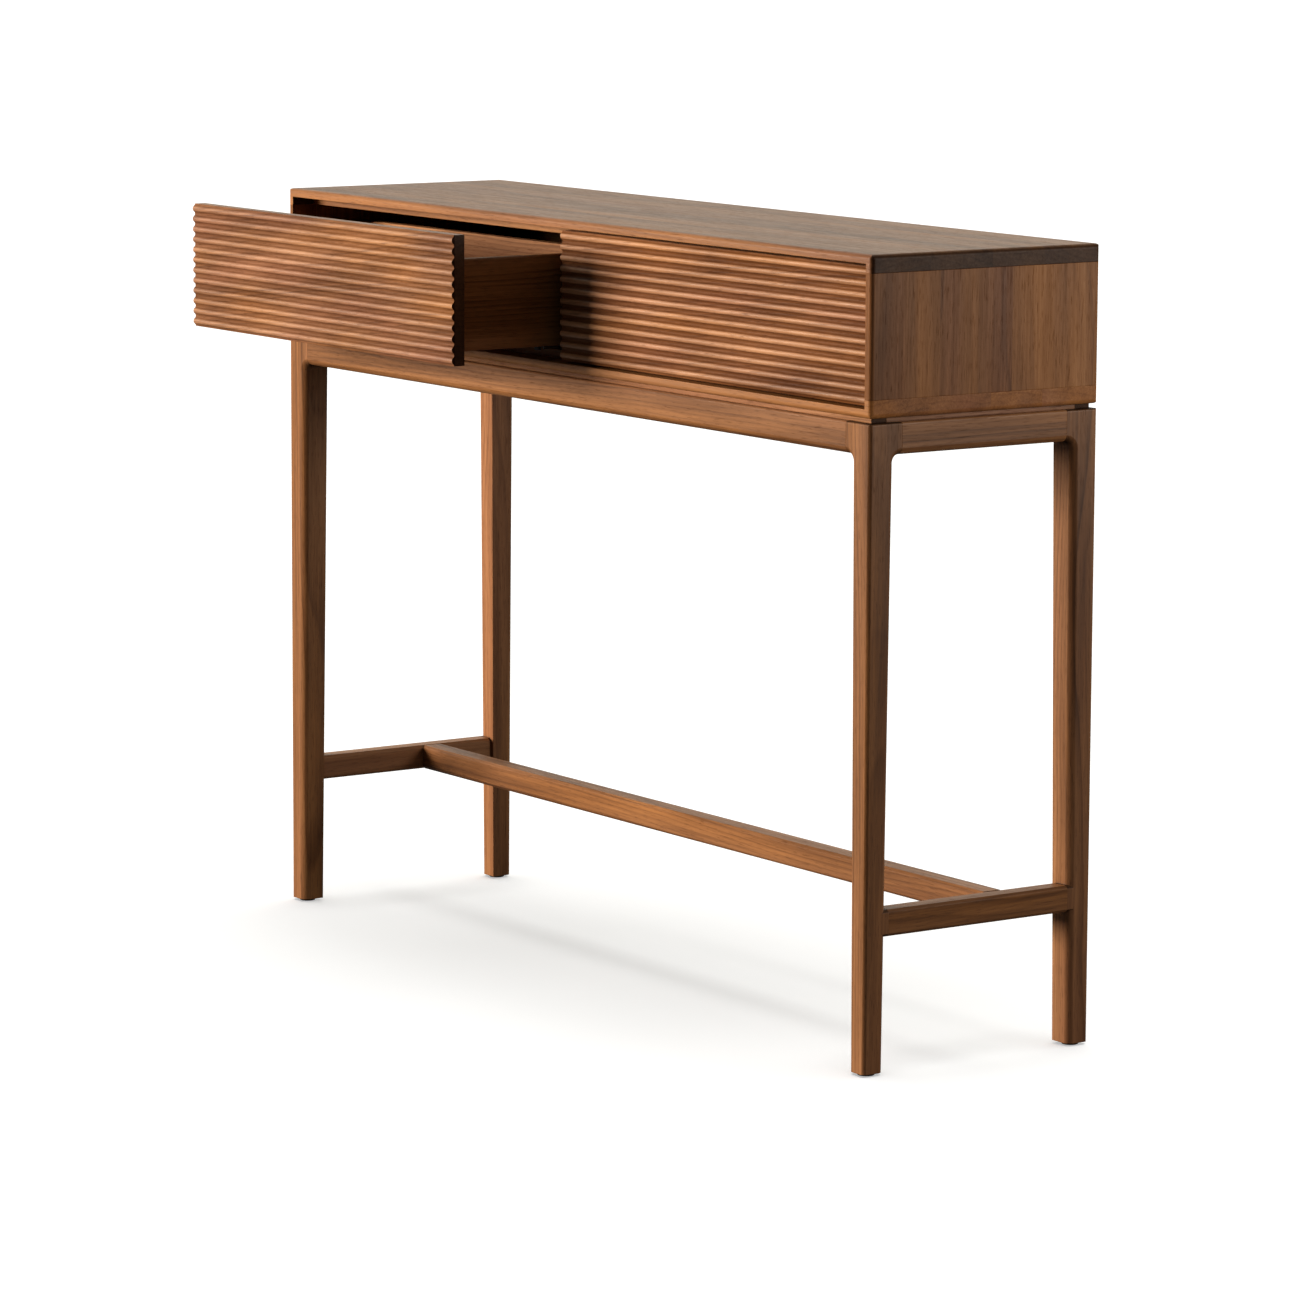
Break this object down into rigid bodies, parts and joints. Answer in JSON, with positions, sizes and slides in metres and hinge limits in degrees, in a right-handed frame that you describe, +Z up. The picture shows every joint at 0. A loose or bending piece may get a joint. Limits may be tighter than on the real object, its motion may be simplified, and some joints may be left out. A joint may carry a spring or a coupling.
{
  "type": "console table",
  "caption": "Narrow walnut console table: a long case with ribbed handleless drawers on a frame of tapered legs joined by low stretchers.",
  "frame": {"origin": "on the floor, under the middle of the case", "axes": "+Z up, +X along the length to the right of someone facing the drawers, -Y towards that person: the drawers open along -Y"},
  "size_m": [1.2, 0.453, 0.89],
  "materials": {
    "walnut": "oiled walnut, satin, open grain",
    "drawer_box_walnut": "oiled walnut, satin",
    "back_panel_walnut": "walnut veneer on board, satin",
    "spacer_walnut": "oiled walnut, matt",
    "block_wood": "planed wood, unfinished",
    "runner_steel": "zinc-plated steel, satin",
    "screw_steel": "zinc-plated steel",
    "pale_plastic": "moulded, satin",
    "bumper_plastic": "moulded, satin",
    "glide_plastic": "moulded, matt"
  },
  "bodies": {
    "table": {"case_top": "walnut", "case_bottom": "walnut", "case_side_left": "walnut", "case_side_right": "walnut", "case_divider": "walnut", "case_back": "back_panel_walnut", "spacer_front": "spacer_walnut", "spacer_rear": "spacer_walnut", "spacer_left": "spacer_walnut", "spacer_right": "spacer_walnut", "apron_front": "walnut", "apron_rear": "walnut", "apron_left": "walnut", "apron_right": "walnut", "leg_front_left": "walnut", "leg_front_right": "walnut", "leg_rear_left": "walnut", "leg_rear_right": "walnut", "stretcher_left": "walnut", "stretcher_right": "walnut", "stretcher_long": "walnut", "glide_front_left": "glide_plastic", "glide_front_right": "glide_plastic", "glide_rear_left": "glide_plastic", "glide_rear_right": "glide_plastic", "block_front_left": "block_wood", "block_front_right": "block_wood", "block_rear_left": "block_wood", "block_rear_right": "block_wood", "case_screws": "screw_steel", "back_screws": "screw_steel", "fixed_rail_screws": "screw_steel", "left_fixed_rail_outer": "runner_steel", "left_fixed_rail_inner": "runner_steel", "right_fixed_rail_inner": "runner_steel", "right_fixed_rail_outer": "runner_steel"},
    "left_drawer": {"left_drawer_front": "walnut", "left_drawer_side_outer": "drawer_box_walnut", "left_drawer_side_inner": "drawer_box_walnut", "left_drawer_back": "drawer_box_walnut", "left_drawer_bottom": "drawer_box_walnut", "left_drawer_rail_outer": "runner_steel", "left_drawer_rail_inner": "runner_steel", "left_drawer_clips": "pale_plastic", "left_drawer_screws": "screw_steel"},
    "right_drawer": {"right_drawer_front": "walnut", "right_drawer_side_outer": "drawer_box_walnut", "right_drawer_side_inner": "drawer_box_walnut", "right_drawer_back": "drawer_box_walnut", "right_drawer_bottom": "drawer_box_walnut", "right_drawer_rail_outer": "runner_steel", "right_drawer_rail_inner": "runner_steel", "right_drawer_clips": "pale_plastic", "right_drawer_screws": "screw_steel"},
    "left_runners": {"left_middle_rail_outer": "runner_steel", "left_middle_rail_inner": "runner_steel", "left_rail_bumpers": "bumper_plastic"},
    "right_runners": {"right_middle_rail_outer": "runner_steel", "right_middle_rail_inner": "runner_steel", "right_rail_bumpers": "bumper_plastic"}
  },
  "joints": [
    {"name": "left_drawer_slide", "type": "slide", "parent": "table", "child": "left_drawer", "axis": [0, -1, 0], "range_m": [-0.145, 0.055]},
    {"name": "right_drawer_slide", "type": "slide", "parent": "table", "child": "right_drawer", "axis": [0, -1, 0], "range_m": [0, 0.2]},
    {"name": "left_runner_slide", "type": "slide", "parent": "table", "child": "left_runners", "axis": [0, -1, 0], "range_m": [-0.0725, 0.0275]},
    {"name": "right_runner_slide", "type": "slide", "parent": "table", "child": "right_runners", "axis": [0, -1, 0], "range_m": [0, 0.1]}
  ],
  "couplings": [
    {"joint": "left_runner_slide", "follows": "left_drawer_slide", "ratio": 0.5},
    {"joint": "right_runner_slide", "follows": "right_drawer_slide", "ratio": 0.5}
  ]
}
